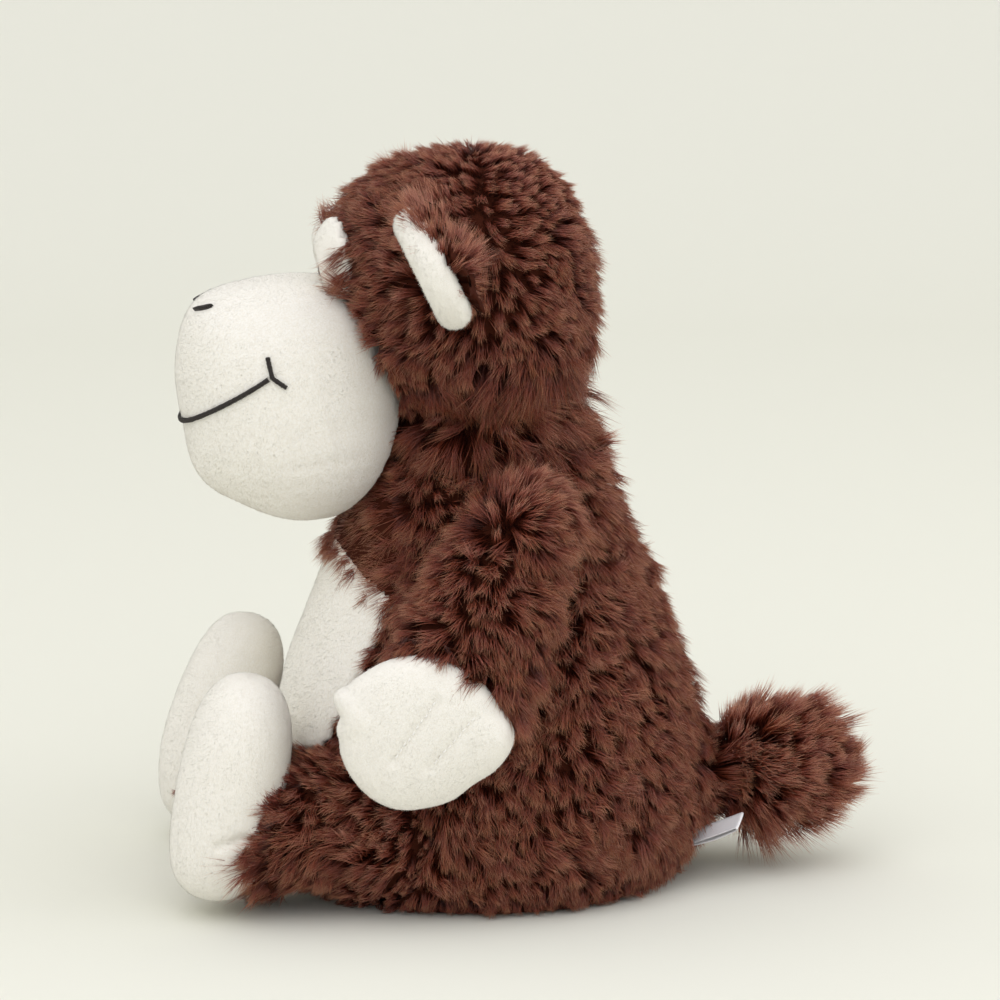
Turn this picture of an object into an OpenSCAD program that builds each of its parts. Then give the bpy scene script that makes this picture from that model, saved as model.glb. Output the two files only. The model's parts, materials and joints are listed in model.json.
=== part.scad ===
// Sitting stuffed monkey: long-pile fur covers with short-pile face, belly, hands and feet, a fibre
// filling in every limb and a pouch of grain in the seat that gives it weight. The front faces -Y,
// its own left side is +X, and the origin is the middle of the flat seat.

/* [Torso] */
// Largest depth of the torso, front to back
torso_depth = 197; // [188:1:204]
// Largest width of the torso
torso_width = 178; // [172:1:188]
// Height of the torso, seat to neck seam
torso_height = 205; // [199:1:214]
// Depth of the flat seat
seat_depth = 176; // [168:1:182]
// Depth of the torso at the neck seam
neck_depth = 84; // [80:1:88]
// How far the torso's middle sits behind the origin
torso_back = -6; // [-8:0.5:-4]

/* [Fabric] */
// Thickness of the long-pile fur fabric, pile and backing
fur_thick = 11; // [8:0.5:13]
// Thickness of the short-pile fabric of face, belly, hands and feet
plush_thick = 3.5; // [2.5:0.5:5]
// Thickness of the padded seat panel
seat_thick = 5; // [4:0.5:6]
// Room left between soft pieces that move against each other
move_gap = 0.3; // [0.3:0.1:0.6]
// Room left in a seam or round a filling
seam_gap = 0.2; // [0.1:0.1:0.4]

/* [Belly panel and seat panel] */
// Width of the belly panel
belly_width = 112; // [96:1:120]
// Height of the belly panel
belly_height = 164; // [150:1:170]
// Height of the belly panel's middle over the seat
belly_level = 104; // [100:1:108]
// Fur border left round the seat panel
seat_border = 8; // [6:0.5:12]

/* [Grain pouch] */
// Width of the grain pouch
pouch_width = 84; // [70:1:90]
// Height of the grain pouch
pouch_height = 58; // [48:1:62]
// How far the pouch's middle sits behind the torso's middle
pouch_back = 16; // [12:1:18]
// Thickness of the pouch's cotton
pouch_thick = 1.5; // [1:0.25:2.5]

/* [Head] */
// Width of the head
head_width = 132; // [126:1:138]
// Depth of the head
head_depth = 120; // [116:1:124]
// Height of the head
head_height = 120; // [116:1:124]
// How square the head looks, 2 is an ellipse
head_square = 2.6; // [2.3:0.05:2.9]
// Forward lean of the head
head_lean = 8; // [5:0.5:10]
// How far the head's middle sits ahead of the neck
head_ahead = 11; // [9:0.5:13]
// Height of the head's lowest point over the neck seam
head_lift = 1; // [0:0.5:4]

/* [Muzzle] */
// Width of the muzzle
muzzle_width = 116; // [108:1:120]
// Depth of the muzzle
muzzle_depth = 100; // [96:1:104]
// Height of the muzzle
muzzle_height = 106; // [102:1:110]
// How square the muzzle looks
muzzle_square = 2.7; // [2.4:0.05:3]
// Forward lean of the muzzle
muzzle_lean = 5; // [3:0.5:8]
// How far the muzzle's middle sits ahead of the head's front
muzzle_proud = 14.5; // [12:0.5:18]
// How far the muzzle's middle sits below the head's middle
muzzle_drop = 51; // [49:0.5:54]
// Room between the chin and the chest
chin_gap = 4; // [3:0.5:6]

/* [Eyes] */
// Radius of each white lobe round the eyes
patch_radius = 18; // [15:0.5:20]
// Distance between the middles of the two lobes
patch_spacing = 34; // [30:0.5:38]
// Height of the lobes over the head's middle
patch_level = 9; // [7:0.5:11]
// Diameter of each eye
eye_diameter = 8; // [7:0.5:9.5]
// Distance between the eyes
eye_spacing = 26; // [22:0.5:30]
// Height of the eyes over the head's middle
eye_level = 15; // [13:0.5:17]
// Diameter of the eye's stem
stem_diameter = 3; // [2:0.5:4]
// Diameter of the washer on the eye's stem
washer_diameter = 12; // [10:0.5:14]

/* [Ears] */
// Diameter of an ear
ear_diameter = 50; // [46:1:56]
// Depth of the ear, rim to back
ear_depth = 12; // [10:0.5:14]
// Diameter of the lining's stuffed lip
lip_diameter = 10; // [8:0.5:12]
// How far the lip's middle sits ahead of the ear's
lip_ahead = 4; // [3:0.5:6]
// Diameter of the rolled seam that the ear folds on
ear_roll = 12; // [10:0.5:14]
// Forward lean of the ear
ear_lean = 26; // [20:1:32]
// How far the ear stands ahead of the head's middle
ear_ahead = 13; // [10:0.5:15]
// Height of the ear over the head's middle
ear_level = 17.5; // [14:0.5:20]

/* [Arms] */
// Height of the shoulder below the neck seam
shoulder_drop = 37; // [34:0.5:40]
// How far the shoulder sits behind the torso's middle
shoulder_back = 12; // [9:0.5:14]
// Diameter of the shoulder
shoulder_diameter = 46; // [42:1:47]
// How far the shoulder's middle stands out of the torso
shoulder_out = 9; // [8:0.5:11]
// Outward splay of the sleeve
arm_splay = 24; // [22:0.5:28]
// Forward swing of the sleeve from hanging straight down
arm_forward = 27; // [20:1:35]
// Length of the sleeve
sleeve_length = 84; // [76:1:90]
// Width of the sleeve at its hem
sleeve_width = 66; // [60:1:68]
// Thickness of the sleeve at its hem
sleeve_thick = 38; // [34:1:42]

/* [Hands] */
// Width of the hand across the fingers
hand_width = 74; // [68:1:78]
// Length of the hand
hand_length = 68; // [62:1:72]
// Thickness of the hand
hand_thick = 27; // [24:0.5:29]
// Diameter of the thumb
thumb_diameter = 23; // [20:0.5:25]
// Length of the thumb past the palm's middle
thumb_length = 42; // [38:1:46]

/* [Legs] */
// Diameter of the leg
leg_diameter = 66; // [60:1:68]
// Distance between the two hips
hip_spacing = 112; // [108:1:116]
// How far the hips sit ahead of the torso's middle
hip_ahead = 52; // [48:0.5:56]
// Height of the leg's underside over the floor
leg_lift = 5; // [5:0.5:8]
// How far the middle of the foot sits ahead of the hip
foot_ahead = 62; // [58:1:66]

/* [Feet] */
// Width of the foot
foot_width = 55; // [50:0.5:60]
// Thickness of the foot, sole to instep
foot_thick = 47; // [42:0.5:50]
// Length of the foot, heel to toes
foot_length = 105; // [96:1:110]
// Backward lean of the foot
foot_lean = 11; // [8:0.5:14]

/* [Tail] */
// Length of the tail
tail_length = 78; // [66:1:84]
// Largest diameter of the tail
tail_diameter = 53; // [46:1:58]
// Diameter of the tail's root
tail_root = 38; // [34:1:40]
// Height of the tail over the seat
tail_level = 44; // [40:1:50]

/* [Care label] */
// Length of the care label outside the seam
label_length = 24; // [16:1:30]
// Width of the care label
label_width = 12; // [8:1:16]
// Thickness of the folded care label
label_thick = 0.8; // [0.6:0.1:1.2]
// Height of the care label over the seat
label_level = 20; // [16:1:26]

/* [Hidden] */
$fn = 120;

FUR = "#4a281c";
PLUSH = "#efeadb";
FIBRE = "#f7f6f2";
LEFT = 1;
RIGHT = -1;
BIG = 400;

// Cubic curve through a and d, drawn towards b and c, and its direction
function curve(a, b, c, d, t) =
    a * pow(1 - t, 3) + 3 * b * t * pow(1 - t, 2) + 3 * c * t * t * (1 - t) + d * pow(t, 3);
function curve_way(a, b, c, d, t) =
    (b - a) * pow(1 - t, 2) + 2 * (c - b) * t * (1 - t) + (d - c) * t * t;

// The torso's side line: seat corner, belly and chest handles, neck. Its widest point is 1.
PEAR_STEPS = 16;
belly_handle = [1.2, 0.22];
chest_handle = [0.763, 0.683];
half_depth = torso_depth / 2;
pear_line = [[seat_depth / 2, 0],
             [belly_handle[0] * half_depth, belly_handle[1] * torso_height],
             [chest_handle[0] * half_depth, chest_handle[1] * torso_height],
             [neck_depth / 2, torso_height]];
function pear_point(t, inset) =
    let (p = curve(pear_line[0], pear_line[1], pear_line[2], pear_line[3], t),
         way = curve_way(pear_line[0], pear_line[1], pear_line[2], pear_line[3], t))
    p + inset / norm(way) * [-way[1], way[0]];
pear_side = [for (i = [0:PEAR_STEPS]) pear_point(i / PEAR_STEPS, 0)];
function pear_radius(z) = lookup(z, [for (p = pear_side) [p[1], p[0]]]);
pear_squash = torso_width / torso_depth;

// Half a superellipse, from the lowest point to the highest, r wide and h high
PUFF_STEPS = 16;
function bow(x, square) = sign(x) * pow(abs(x), 2 / square);
function puff_side(r, h, square) =
    [for (i = [0:PUFF_STEPS]) let (a = -90 + 180 * i / PUFF_STEPS)
        [max(0, r * bow(cos(a), square)), h * bow(sin(a), square)]];

// Places worked out from the sizes above
neck_dip = 12;
neck_at = [0, torso_back, torso_height - neck_dip];
neck_radius = norm([neck_depth / 2, neck_dip]);
head_at = [0, torso_back - head_ahead, torso_height + head_lift + head_height / 2];
muzzle_at = head_at - [0, head_depth / 2 + muzzle_proud, muzzle_drop];
nod_down = 4;
shoulder_level = torso_height - shoulder_drop;
shoulder_at = [pear_radius(shoulder_level) * pear_squash + shoulder_out,
               torso_back + shoulder_back, shoulder_level];
hem_level = 0.92 * sleeve_length;
hem_at = shoulder_at + hem_level * [sin(arm_splay), -cos(arm_splay) * sin(arm_forward),
                                    -cos(arm_splay) * cos(arm_forward)];
hand_turn = 37;
thumb_turn = 110;
palm_out = 7.5;
palm_at = hem_at + [palm_out, -0.33 * hand_length * sin(hand_turn),
                    -0.33 * hand_length * cos(hand_turn)];
hand_inside = palm_at[0] - hand_thick / 2;
hip_at = [hip_spacing / 2, torso_back - hip_ahead, leg_lift + leg_diameter / 2];
foot_at = hip_at + [4, -foot_ahead, foot_length / 2 + 1 - leg_lift - leg_diameter / 2];
tail_sunk = 8;
tail_at = [0, torso_back + pear_radius(tail_level) - tail_sunk, tail_level];
tail_rise = 4;
ear_out = head_width / 2;
ear_at = head_at + [ear_out, -ear_ahead, ear_level];

// ---- shapes that repeat ----

// The torso's outer form, drawn in by inset, with its underside at floor_level
module pear(inset, floor_level) {
    side = [for (i = [0:PEAR_STEPS]) let (p = pear_point(i / PEAR_STEPS, inset))
        [p[0], max(p[1], floor_level)]];
    translate([0, torso_back, 0]) scale([pear_squash, 1, 1]) rotate_extrude()
        polygon(concat([[0, floor_level]], side, [[0, side[PEAR_STEPS][1]]]));
}

// A stuffed form, turned in quarters: superellipse from the side, ellipse from above
module puff(width, depth, height, square, inset = 0) {
    d = depth - 2 * inset;
    scale([(width - 2 * inset) / d, 1, 1])
        for (quarter = [0:3]) rotate([0, 0, 90 * quarter + 45]) rotate_extrude(angle = 90)
            polygon(puff_side(d / 2, height / 2 - inset, square));
}

module round_end(at, radius) { translate(at) rotate([90, 0, 0]) sphere(r = radius); }

module neck_ball(gap) { translate(neck_at) sphere(r = neck_radius + gap); }

module on_side(side) { if (side == LEFT) children(); else mirror([1, 0, 0]) children(); }

// ---- torso ----

module belly_outline(grow) {
    translate([0, torso_back, belly_level]) rotate([90, 0, 0])
        scale([belly_width / belly_height, 1, 1])
            cylinder(r = belly_height / 2 + grow, h = torso_depth);
}

// Room for the arm: the shoulder's ball, and a shallow dish that the sleeve and hand turn over
module arm_room(gap) {
    round_start = shoulder_at[0] - sleeve_thick / 2 / cos(arm_splay) - gap;
    slope = tan(arm_splay);
    inside = hand_inside - gap;
    reach = (inside - round_start) / slope;
    translate([0, shoulder_at[1], shoulder_at[2]]) rotate([0, 90, 0]) rotate_extrude()
        polygon([[0, round_start], [reach, inside], [torso_height, inside],
                 [torso_height, torso_width], [0, torso_width]]);
    round_end(shoulder_at, shoulder_diameter / 2 + gap);
}

// The thigh is a little slimmer than the hip, so that it can swing outward in its room
leg_tube = leg_diameter - 4;
swing_gap = 1.2;
module leg_room(gap) {
    round_end(hip_at, leg_diameter / 2 + gap);
    translate(hip_at) rotate([90, 0, 0])
        cylinder(d = leg_tube + 2 * swing_gap, h = foot_ahead);
}

module torso_joints() {
    neck_ball(move_gap);
    for (side = [LEFT, RIGHT]) on_side(side) {
        arm_room(move_gap);
        leg_room(move_gap);
    }
    round_end(tail_at, tail_root / 2 + move_gap);
}

// The slab gives the oval its flat ends, so the toy has a true flat to sit on
slab_spare = 1;
module seat_round(grow, height) {
    intersection() {
        translate([0, torso_back, -slab_spare]) linear_extrude(height + 2 * slab_spare)
            scale([pear_squash, 1]) circle(r = seat_depth / 2 - seat_border + grow);
        translate([-seat_depth, torso_back - seat_depth, 0])
            cube([2 * seat_depth, 2 * seat_depth, height]);
    }
}

module torso_cover() {
    color(FUR) difference() {
        pear(0, 0);
        pear(fur_thick, seat_thick);
        seat_round(seam_gap, fur_thick);
        belly_outline(seam_gap);
        torso_joints();
    }
}

module belly_panel() {
    color(PLUSH) difference() {
        intersection() {
            pear(0, 0);
            belly_outline(0);
        }
        pear(plush_thick, 0);
        torso_joints();
    }
}

module seat_panel() {
    color(FUR) seat_round(0, seat_thick);
}

module pouch(inset) {
    r = pouch_width / 2 - inset;
    translate([0, torso_back + pouch_back, seat_thick + fur_thick + pouch_height / 2])
        scale([1, 1, (pouch_height / 2 - inset) / r]) sphere(r = r);
}

module torso_filling() {
    color(FIBRE) difference() {
        union() {
            pear(fur_thick + seam_gap, seat_thick + seam_gap);
            intersection() {
                pear(plush_thick + seam_gap, seat_thick + seam_gap);
                belly_outline(-seam_gap);
            }
        }
        pouch(-seam_gap);
        torso_joints();
    }
}

module pouch_bag() {
    color("beige") difference() {
        pouch(0);
        pouch(pouch_thick);
    }
}

module pouch_grain() {
    color("tan") pouch(pouch_thick + seam_gap);
}

module care_label() {
    r = pear_radius(label_level);
    turn = -20;
    color("white") difference() {
        translate([0, torso_back, 0]) scale([pear_squash, 1, 1]) rotate([0, 0, turn])
            translate([0, r, label_level]) rotate([27, 20, 0])
                translate([-label_width / 2, -4, 0])
                    cube([label_width, label_length + 4, label_thick]);
        pear(0, 0);
    }
}

// ---- neck and head ----

module neck_cover() {
    color(FUR) difference() {
        neck_ball(0);
        neck_ball(-fur_thick);
    }
}

module neck_filling() {
    color(FIBRE) neck_ball(-fur_thick - seam_gap);
}

module head_form(inset) {
    translate(head_at) rotate([head_lean, 0, 0])
        puff(head_width, head_depth, head_height, head_square, inset);
}

// Room that the chest needs when the head nods down
module chest_room(grow) {
    translate(neck_at) rotate([-nod_down, 0, 0]) translate(-neck_at)
        pear(-chin_gap - grow, -BIG / 4);
}

module muzzle_form(inset) {
    difference() {
        translate(muzzle_at) rotate([muzzle_lean, 0, 0])
            puff(muzzle_width, muzzle_depth, muzzle_height, muzzle_square, inset);
        chest_room(inset);
        round_end(neck_at, neck_radius + move_gap + inset);
    }
}

// Two round lobes that run into one another over the muzzle
module patch_outline(grow) {
    low = patch_radius + patch_spacing / 2;
    translate(head_at) rotate([90, 0, 0]) {
        for (side = [LEFT, RIGHT])
            translate([side * patch_spacing / 2, patch_level, 0])
                cylinder(r = patch_radius + grow, h = head_depth);
        translate([-low + patch_radius, patch_level - low, 0])
            cube([patch_spacing, low, head_depth]);
    }
}

module ear_roll_at(radius) {
    translate(ear_at) rotate([ear_lean, 0, 0])
        cylinder(r = radius, h = ear_diameter, center = true);
}

module head_joints() {
    round_end(neck_at, neck_radius + move_gap);
    for (side = [LEFT, RIGHT]) on_side(side) ear_roll_at(ear_roll / 2 + move_gap);
}

module muzzle_room() {
    translate(muzzle_at) rotate([muzzle_lean, 0, 0])
        puff(muzzle_width, muzzle_depth, muzzle_height, muzzle_square, -seam_gap);
}

// Depth of the head's front at a place x to the side and z over its middle
function head_front(x, z) =
    head_depth / 2 * pow(1 - pow(abs(z) * 2 / head_height, head_square), 1 / head_square)
    * sqrt(1 - pow(x * 2 / head_width, 2));

// Places a piece square on the face, with its stem into the head
module at_eye(side) {
    x = eye_spacing / 2;
    front = head_front(x, eye_level);
    pitch = atan(head_front(x, eye_level - 1) - front);
    yaw = atan(head_front(x - 1, eye_level) - front);
    translate(head_at) rotate([head_lean, 0, 0]) translate([side * x, -front, eye_level])
        rotate([-90 - pitch, 0, side * yaw]) children();
}

stem_length = plush_thick + 5;
module eye_stems(gap) {
    for (side = [LEFT, RIGHT]) at_eye(side)
        cylinder(d = stem_diameter + 2 * gap, h = stem_length + gap);
}

washer_thick = 1.4;
module eye_disc(gap) {
    translate([0, 0, plush_thick + 1 - gap]) cylinder(d = washer_diameter + 2 * gap,
                                                      h = washer_thick + 2 * gap);
}

module head_cover() {
    color(FUR) difference() {
        head_form(0);
        head_form(fur_thick);
        muzzle_room();
        patch_outline(seam_gap);
        head_joints();
    }
}

module eye_patches() {
    color(PLUSH) difference() {
        intersection() {
            head_form(0);
            patch_outline(0);
        }
        head_form(plush_thick);
        muzzle_room();
        eye_stems(seam_gap);
    }
}

module head_filling() {
    color(FIBRE) difference() {
        union() {
            head_form(fur_thick + seam_gap);
            intersection() {
                head_form(plush_thick + seam_gap);
                patch_outline(-seam_gap);
            }
        }
        muzzle_room();
        head_joints();
        eye_stems(seam_gap);
        for (side = [LEFT, RIGHT]) at_eye(side) eye_disc(seam_gap);
    }
}

eye_flatness = 0.65;
module eye(side) {
    dome = eye_diameter / 2;
    color("#16110f") at_eye(side) translate([0, 0, -seam_gap]) {
        difference() {
            scale([1, 1, eye_flatness]) sphere(r = dome);
            translate([0, 0, dome]) cube(2 * dome, center = true);
        }
        translate([0, 0, -dome / 4]) cylinder(d = stem_diameter, h = stem_length + dome / 4);
    }
}

module eye_washers() {
    color("#dcdcd6") for (side = [LEFT, RIGHT]) at_eye(side) difference() {
        eye_disc(0);
        cylinder(d = stem_diameter + 2 * seam_gap, h = stem_length);
    }
}

module muzzle_cover() {
    color(PLUSH) difference() {
        muzzle_form(0);
        muzzle_form(plush_thick);
    }
}

module muzzle_filling() {
    color(FIBRE) muzzle_form(plush_thick + seam_gap);
}

// ---- ears: a bowl of fur outside and a short-pile lining inside, on a rolled seam ----

ear_reach = 14;
ear_ball = 44;
ear_back_thick = 6;
ear_clear = 4;
module ear_bowl(outer, inner, rim) {
    translate([ear_reach, 0, 0]) difference() {
        intersection() {
            translate([0, ear_depth - 2 - ear_ball, 0]) sphere(r = outer);
            rotate([-90, 0, 0]) translate([0, 0, -rim]) cylinder(r = ear_diameter / 2, h = BIG / 4);
        }
        translate([0, ear_depth - 2 - ear_ball, 0]) sphere(r = inner);
        translate([-ear_reach, 0, 0]) ear_side_cut();
    }
}

module ear_side_cut() {
    translate([-ear_diameter, -BIG / 2, -BIG / 2]) cube([ear_diameter + ear_clear, BIG, BIG]);
}

// The lining's stuffed lip, rolled out round the rim
module ear_lip(gap) {
    difference() {
        translate([ear_reach, -lip_ahead, 0]) rotate([-90, 0, 0]) rotate_extrude()
            translate([(ear_diameter - lip_diameter) / 2, 0]) circle(d = lip_diameter + 2 * gap);
        ear_side_cut();
    }
}

module ear_place(side) {
    on_side(side) translate(ear_at) rotate([ear_lean, 0, 0]) children();
}

module ear_back(side) {
    color(FUR) ear_place(side) {
        difference() {
            ear_bowl(ear_ball, ear_ball - ear_back_thick, 2);
            ear_lip(seam_gap);
        }
        cylinder(d = ear_roll, h = 0.78 * ear_diameter, center = true);
    }
}

module ear_lining(side) {
    color(PLUSH) ear_place(side) difference() {
        union() {
            ear_bowl(ear_ball - ear_back_thick - seam_gap,
                     ear_ball - ear_back_thick - seam_gap - plush_thick, 5);
            ear_lip(0);
        }
        cylinder(d = ear_roll + 2 * seam_gap, h = ear_diameter, center = true);
    }
}

// ---- arms and hands ----

module sleeve_form(inset) {
    w = sleeve_width / 2 - inset;
    root = shoulder_diameter / 2 - inset;
    translate(shoulder_at) rotate([-arm_forward, 0, 0]) rotate([0, -arm_splay, 0])
        scale([sleeve_thick / sleeve_width, 1, 1]) rotate_extrude()
            polygon([[0, 0], [root, 0], [root + 0.55 * (w - root), -0.3 * sleeve_length],
                     [w, -0.62 * sleeve_length], [w, -0.85 * sleeve_length],
                     [0.93 * w, -0.95 * sleeve_length], [0.8 * w, -sleeve_length],
                     [0, -sleeve_length]]);
    round_end(shoulder_at, root);
}

module palm_place() {
    translate(palm_at) rotate([-hand_turn, 0, 0]) children();
}

module hand_form(inset) {
    palm_place() {
        rotate([0, 90, 0]) puff(hand_length, hand_width, hand_thick, 2.5, inset);
        rotate([thumb_turn, 0, 0]) translate([0, 0, -0.1 * hand_length]) {
            cylinder(d = thumb_diameter - 2 * inset, h = thumb_length + 0.1 * hand_length
                     - thumb_diameter / 2);
            translate([0, 0, thumb_length + 0.1 * hand_length - thumb_diameter / 2])
                sphere(d = thumb_diameter - 2 * inset);
        }
    }
}

module sleeve(side) {
    color(FUR) on_side(side) difference() {
        sleeve_form(0);
        sleeve_form(fur_thick);
        hand_form(-seam_gap);
    }
}

module arm_filling(side) {
    color(FIBRE) on_side(side) difference() {
        sleeve_form(fur_thick + seam_gap);
        hand_form(-seam_gap);
    }
}

module hand(side) {
    color(PLUSH) on_side(side) difference() {
        hand_form(0);
        hand_form(plush_thick);
    }
}

module hand_filling(side) {
    color(FIBRE) on_side(side) hand_form(plush_thick + seam_gap);
}

// ---- legs and feet ----

// The thigh ends this far inside the foot
foot_lap = 8;
module leg_form(inset) {
    round_end(hip_at, leg_diameter / 2 - inset);
    translate(hip_at) rotate([90, 0, 0])
        cylinder(d = leg_tube - 2 * inset, h = foot_ahead - foot_lap);
}

module foot_form(inset) {
    translate(foot_at) rotate([-foot_lean, 0, 0])
        puff(foot_width, foot_thick, foot_length, 2.6, inset);
}

module leg_cover(side) {
    color(FUR) on_side(side) difference() {
        leg_form(0);
        leg_form(fur_thick);
        foot_form(-seam_gap);
    }
}

module leg_filling(side) {
    color(FIBRE) on_side(side) difference() {
        leg_form(fur_thick + seam_gap);
        foot_form(-seam_gap);
    }
}

module foot(side) {
    color(PLUSH) on_side(side) difference() {
        foot_form(0);
        foot_form(plush_thick);
    }
}

module foot_filling(side) {
    color(FIBRE) on_side(side) foot_form(plush_thick + seam_gap);
}

// ---- tail ----

module tail_form(inset) {
    r = tail_diameter / 2 - inset;
    root = tail_root / 2 - inset;
    l = tail_length - inset;
    translate(tail_at) rotate([tail_rise - 90, 0, 0]) rotate([0, 0, 32]) rotate_extrude()
        polygon([[0, 0], [0.6 * root, 0], [0.68 * root, 0.15 * l], [0.76 * root, 0.19 * l],
                 [0.8 * r, 0.27 * l], [0.96 * r, 0.37 * l], [r, 0.5 * l], [0.97 * r, 0.65 * l],
                 [0.8 * r, 0.8 * l], [0.45 * r, 0.93 * l], [0, l]]);
    round_end(tail_at, root);
}

module tail_cover() {
    color(FUR) difference() {
        tail_form(0);
        tail_form(fur_thick);
    }
}

module tail_filling() {
    color(FIBRE) tail_form(fur_thick + seam_gap);
}

torso_cover();
belly_panel();
seat_panel();
torso_filling();
pouch_bag();
pouch_grain();
care_label();
neck_cover();
neck_filling();
head_cover();
head_filling();
eye_patches();
eye(LEFT);  // eye_left
eye(RIGHT);  // eye_right
eye_washers();
muzzle_cover();
muzzle_filling();
ear_back(LEFT);  // ear_left_back
ear_lining(LEFT);  // ear_left_lining
ear_back(RIGHT);  // ear_right_back
ear_lining(RIGHT);  // ear_right_lining
sleeve(LEFT);  // sleeve_left
arm_filling(LEFT);  // arm_left_filling
hand(LEFT);  // hand_left
hand_filling(LEFT);  // hand_left_filling
sleeve(RIGHT);  // sleeve_right
arm_filling(RIGHT);  // arm_right_filling
hand(RIGHT);  // hand_right
hand_filling(RIGHT);  // hand_right_filling
leg_cover(LEFT);  // leg_left_cover
leg_filling(LEFT);  // leg_left_filling
foot(LEFT);  // foot_left
foot_filling(LEFT);  // foot_left_filling
leg_cover(RIGHT);  // leg_right_cover
leg_filling(RIGHT);  // leg_right_filling
foot(RIGHT);  // foot_right
foot_filling(RIGHT);  // foot_right_filling
tail_cover();
tail_filling();
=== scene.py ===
# A seated plush monkey with long brown pile and short cream pile.
import json
import math
import bpy
import numpy as np
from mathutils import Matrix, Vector
from mathutils.bvhtree import BVHTree


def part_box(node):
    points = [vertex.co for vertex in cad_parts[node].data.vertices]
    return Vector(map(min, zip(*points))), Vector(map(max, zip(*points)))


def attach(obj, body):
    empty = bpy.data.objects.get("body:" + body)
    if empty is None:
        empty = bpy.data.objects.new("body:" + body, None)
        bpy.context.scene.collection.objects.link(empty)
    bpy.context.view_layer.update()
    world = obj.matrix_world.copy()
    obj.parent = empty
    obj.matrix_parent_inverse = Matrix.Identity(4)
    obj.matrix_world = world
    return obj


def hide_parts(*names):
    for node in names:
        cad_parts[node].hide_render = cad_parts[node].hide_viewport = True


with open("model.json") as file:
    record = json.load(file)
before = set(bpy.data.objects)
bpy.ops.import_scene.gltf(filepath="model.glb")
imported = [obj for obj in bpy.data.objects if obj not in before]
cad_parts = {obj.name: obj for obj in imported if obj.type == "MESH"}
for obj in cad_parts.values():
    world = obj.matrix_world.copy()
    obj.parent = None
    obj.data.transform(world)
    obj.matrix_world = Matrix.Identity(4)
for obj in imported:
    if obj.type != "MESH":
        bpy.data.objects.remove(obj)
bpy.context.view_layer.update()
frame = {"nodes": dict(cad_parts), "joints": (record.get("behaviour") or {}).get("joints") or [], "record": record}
MM = 0.001

# ---- Long brown pile -------------------------------------------------------------------
# Polyester fibres 15 to 20 mm long, knitted into a dark backing cloth. They were cut, then
# tumbled, so they stand in loose locks that lean and curl a little. Every brown part uses it.


def linear(hex_colour):
    """An sRGB hex colour as linear RGBA."""
    parts = [int(hex_colour[i:i + 2], 16) / 255 for i in (1, 3, 5)]
    return [c / 12.92 if c <= 0.04045 else ((c + 0.055) / 1.055) ** 2.4 for c in parts] + [1.0]


def add(tree, kind, links=None, **settings):
    """Adds a node, sets its properties and inputs by name, and links its inputs."""
    node = tree.nodes.new(kind)
    for name, value in settings.items():
        if hasattr(node, name):
            setattr(node, name, value)
        else:
            node.inputs[name.replace("_", " ")].default_value = value
    for socket, source in (links or {}).items():
        tree.links.new(source, node.inputs[socket])
    return node


def new_material(name, **sockets):
    """A Principled material, with uniform values on the shader's own sockets."""
    made = bpy.data.materials.new(name)
    made.use_nodes = True
    made.node_tree.nodes.clear()
    shader = add(made.node_tree, "ShaderNodeBsdfPrincipled")
    for socket, value in sockets.items():
        shader.inputs[socket.replace("_", " ")].default_value = value
    add(made.node_tree, "ShaderNodeOutputMaterial", {"Surface": shader.outputs[0]})
    return made, made.node_tree, shader


def set_ramp(node, stops):
    """Gives a colour ramp its stops, as (place, hex colour)."""
    ramp = node.color_ramp
    while len(ramp.elements) > 2:
        ramp.elements.remove(ramp.elements[-1])
    for i, (place, colour) in enumerate(stops):
        element = ramp.elements[i] if i < 2 else ramp.elements.new(place)
        element.position = place
        element.color = linear(colour)


def fibre_material(name, cool, warm, **sockets):
    """Fibres whose colour runs from root to tip, and between a cool and a warm tone: a random dye lot for each
    lock or fibre, plus painted warm shade where a piece tints its fibres warmer.
    """
    made, tree, shader = new_material(name, **sockets)
    uv = add(tree, "ShaderNodeUVMap", uv_map="OFBake")
    split = add(tree, "ShaderNodeSeparateXYZ", {0: uv.outputs[0]})
    ramps = []
    for stops in (cool, warm):
        ramp = add(tree, "ShaderNodeValToRGB", {0: split.outputs["Y"]})
        set_ramp(ramp, stops)
        ramps.append(ramp)
    mix = add(tree, "ShaderNodeMix", {0: split.outputs["X"], 6: ramps[0].outputs[0],
                                      7: ramps[1].outputs[0]}, data_type="RGBA")
    tree.links.new(mix.outputs[2], shader.inputs["Base Color"])
    return made


long_pile = fibre_material(
    "long_brown_polyester_pile",
    cool=[(0.0, "#300f05"), (0.3, "#532117"), (0.7, "#853f31"), (1.0, "#dc9f86")],
    warm=[(0.0, "#351105"), (0.3, "#5f2614"), (0.7, "#934b31"), (1.0, "#e6a97e")],
    Roughness=0.38, Specular_IOR_Level=0.5)


def mottled(name, size, stops, noise=None, grain=None, **sockets):
    """A material whose colour wanders over about size. grain gives it a fine relief, as its
    size, strength, height and noise settings."""
    made, tree, shader = new_material(name, **sockets)
    mottle = add(tree, "ShaderNodeTexNoise", Scale=1 / size, **(noise or {"Detail": 3.0}))
    tone = add(tree, "ShaderNodeValToRGB", {0: mottle.outputs[0]})
    set_ramp(tone, stops)
    tree.links.new(tone.outputs[0], shader.inputs["Base Color"])
    if grain:
        fine, strength, height, settings = grain
        texture = add(tree, "ShaderNodeTexNoise", Scale=1 / fine, **settings)
        bump = add(tree, "ShaderNodeBump", {"Height": texture.outputs[0]}, Strength=strength,
                   Distance=height)
        tree.links.new(bump.outputs[0], shader.inputs["Normal"])
    return made


backing = mottled("knitted_backing_cloth", 3 * MM, [(0.3, "#2b0f07"), (0.7, "#4a2113")],
                  Roughness=0.95, Specular_IOR_Level=0.1)


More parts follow.
